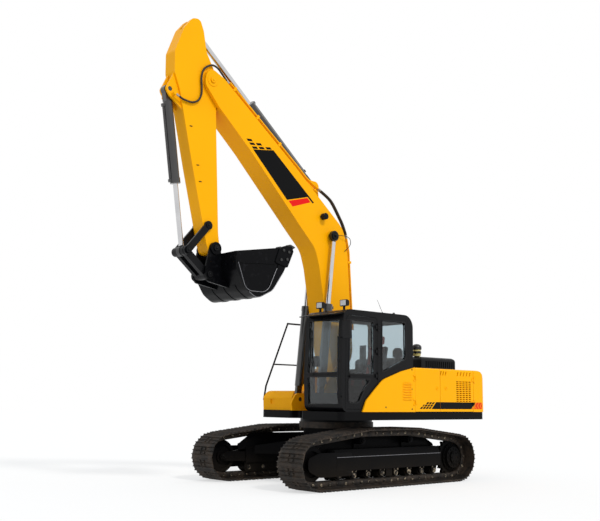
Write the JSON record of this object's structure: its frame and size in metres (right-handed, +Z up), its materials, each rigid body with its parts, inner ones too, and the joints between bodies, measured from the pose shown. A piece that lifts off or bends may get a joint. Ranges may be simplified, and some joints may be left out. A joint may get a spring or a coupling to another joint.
{
  "type": "crawler excavator",
  "caption": "Crawler excavator: slewing cab and engine house on steel tracks, with a hinged boom, arm and bucket worked by hydraulic rams.",
  "frame": {"origin": "on the ground under the centre of the bounding box of the machine as pictured, with the boom raised and the arm and bucket drawn in; the swing axis is 0.639 m behind it", "axes": "+X forward along the tracks and boom, +Y to the left (cab side), +Z up"},
  "size_m": [6.7538, 3.06, 7.801],
  "materials": {
    "machine_paint": "gloss",
    "black_paint": "satin",
    "hose_rubber": "matte",
    "track_steel": "matte, dusty",
    "chrome": "polished",
    "glass": "clear",
    "trim": "matte",
    "seat_fabric": "woven",
    "engine_iron": "matte",
    "worn_steel": "worn"
  },
  "bodies": {
    "undercarriage": {"carbody": "black_paint", "slew_ring": "track_steel", "track_frames": "black_paint", "track_left": "track_steel", "track_right": "track_steel", "chains": "track_steel", "sprockets": "black_paint", "rollers": "black_paint"},
    "upper": {"deck": "black_paint", "counterweight": "machine_paint", "engine_house": "black_paint", "engine": "engine_iron", "side_cover": "machine_paint", "tanks": "machine_paint", "toolbox": "machine_paint", "cab_shell": "black_paint", "cab_glass": "glass", "seat": "seat_fabric", "console": "trim", "handrails": "black_paint", "side_mirror": "trim", "stacks": "black_paint", "work_lamps": "trim"},
    "hood": {"hood": "black_paint"},
    "front_left_door": {"door_front_left": "machine_paint"},
    "rear_left_door": {"door_rear_left": "machine_paint"},
    "right_door": {"door_right": "machine_paint"},
    "toolbox_lid": {"toolbox_lid": "machine_paint"},
    "cab_door": {"cab_door": "black_paint", "door_glass": "glass"},
    "boom": {"boom": "machine_paint", "boom_lamp": "trim", "boom_pipes": "machine_paint", "hoses": "hose_rubber"},
    "boom_barrels": {"boom_barrels": "black_paint"},
    "boom_rods": {"boom_rods": "chrome"},
    "arm_barrel": {"arm_barrel": "black_paint"},
    "arm_rod": {"arm_rod": "chrome"},
    "arm": {"arm": "machine_paint"},
    "bucket_barrel": {"bucket_barrel": "black_paint"},
    "bucket_rod": {"bucket_rod": "chrome"},
    "guide_links": {"guide_links": "black_paint"},
    "h_link": {"h_link": "black_paint"},
    "bucket": {"bucket": "black_paint", "bucket_teeth": "worn_steel"}
  },
  "joints": [
    {"name": "swing", "type": "hinge", "parent": "undercarriage", "child": "upper", "pos_m": [-0.63919, 0, 1.055], "axis": [0, 0, 1], "continuous": true},
    {"name": "boom_lift", "type": "hinge", "parent": "upper", "child": "boom", "pos_m": [-0.49919, 0, 1.93], "axis": [0, -1, 0], "range_deg": [-106, 0]},
    {"name": "arm_swing", "type": "hinge", "parent": "boom", "child": "arm", "pos_m": [2.49919, 0, 6.76589], "axis": [0, -1, 0], "range_deg": [0, 105], "deforming": ["hoses"]},
    {"name": "bucket_curl", "type": "hinge", "parent": "arm", "child": "bucket", "pos_m": [2.32898, 0, 3.90094], "axis": [0, -1, 0], "range_deg": [-35, 115]},
    {"name": "cab_door_hinge", "type": "hinge", "parent": "upper", "child": "cab_door", "pos_m": [-0.33919, 1.347, 1.6], "axis": [0, 0, 1], "range_deg": [0, 150]},
    {"name": "hood_hinge", "type": "hinge", "parent": "upper", "child": "hood", "pos_m": [-2.92819, 0, 2.049], "axis": [0, -1, 0], "range_deg": [0, 60]},
    {"name": "front_left_door_hinge", "type": "hinge", "parent": "upper", "child": "front_left_door", "pos_m": [-1.28419, 1.371, 1.6], "axis": [0, 0, -1], "range_deg": [0, 90]},
    {"name": "rear_left_door_hinge", "type": "hinge", "parent": "upper", "child": "rear_left_door", "pos_m": [-2.96919, 1.371, 1.6], "axis": [0, 0, 1], "range_deg": [0, 90]},
    {"name": "right_door_hinge", "type": "hinge", "parent": "upper", "child": "right_door", "pos_m": [-1.97919, -1.371, 1.6], "axis": [0, 0, 1], "range_deg": [0, 90]},
    {"name": "toolbox_lid_hinge", "type": "hinge", "parent": "upper", "child": "toolbox_lid", "pos_m": [-0.87919, -0.9, 1.617], "axis": [0, -1, 0], "range_deg": [0, 85]},
    {"name": "boom_barrel_hinge", "type": "hinge", "parent": "upper", "child": "boom_barrels", "pos_m": [0.05081, 0, 1.45], "axis": [0, -1, 0], "range_deg": [-109.81, 0]},
    {"name": "boom_rod_slide", "type": "slide", "parent": "boom_barrels", "child": "boom_rods", "axis": [-0.1075, 0, 0.9942], "range_m": [-1.1589, 0]},
    {"name": "arm_barrel_hinge", "type": "hinge", "parent": "boom", "child": "arm_barrel", "pos_m": [0.04866, 0, 5.3555], "axis": [0, -1, 0], "range_deg": [0, 4.42]},
    {"name": "arm_rod_slide", "type": "slide", "parent": "arm_barrel", "child": "arm_rod", "axis": [0.7657, 0, 0.6432], "range_m": [-1.5008, 0]},
    {"name": "guide_link_hinge", "type": "hinge", "parent": "arm", "child": "guide_links", "pos_m": [2.47506, 0, 4.26893], "axis": [0, -1, 0], "range_deg": [-29.13, 95.71]},
    {"name": "h_link_hinge", "type": "hinge", "parent": "guide_links", "child": "h_link", "pos_m": [2.86946, 0, 3.80872], "axis": [0, -1, 0], "range_deg": [-67.19, 20.45]},
    {"name": "bucket_barrel_hinge", "type": "hinge", "parent": "arm", "child": "bucket_barrel", "pos_m": [3.26909, 0, 6.45468], "axis": [0, -1, 0], "range_deg": [-0.53, 1.73]},
    {"name": "bucket_rod_slide", "type": "slide", "parent": "bucket_barrel", "child": "bucket_rod", "axis": [-0.1493, 0, -0.9888], "range_m": [-0.8626, 0.2625]}
  ],
  "couplings": [
    {"joint": "boom_barrel_hinge", "follows": "boom_lift", "ratio": 1.0339},
    {"joint": "boom_rod_slide", "follows": "boom_lift", "m_per_rad": 0.62515},
    {"joint": "arm_barrel_hinge", "follows": "arm_swing", "ratio": 0.042042},
    {"joint": "arm_rod_slide", "follows": "arm_swing", "m_per_rad": -0.81732},
    {"joint": "guide_link_hinge", "follows": "bucket_curl", "ratio": 0.83059},
    {"joint": "h_link_hinge", "follows": "bucket_curl", "ratio": -0.58305},
    {"joint": "bucket_barrel_hinge", "follows": "bucket_curl", "ratio": 0.015},
    {"joint": "bucket_rod_slide", "follows": "bucket_curl", "m_per_rad": -0.42892}
  ]
}
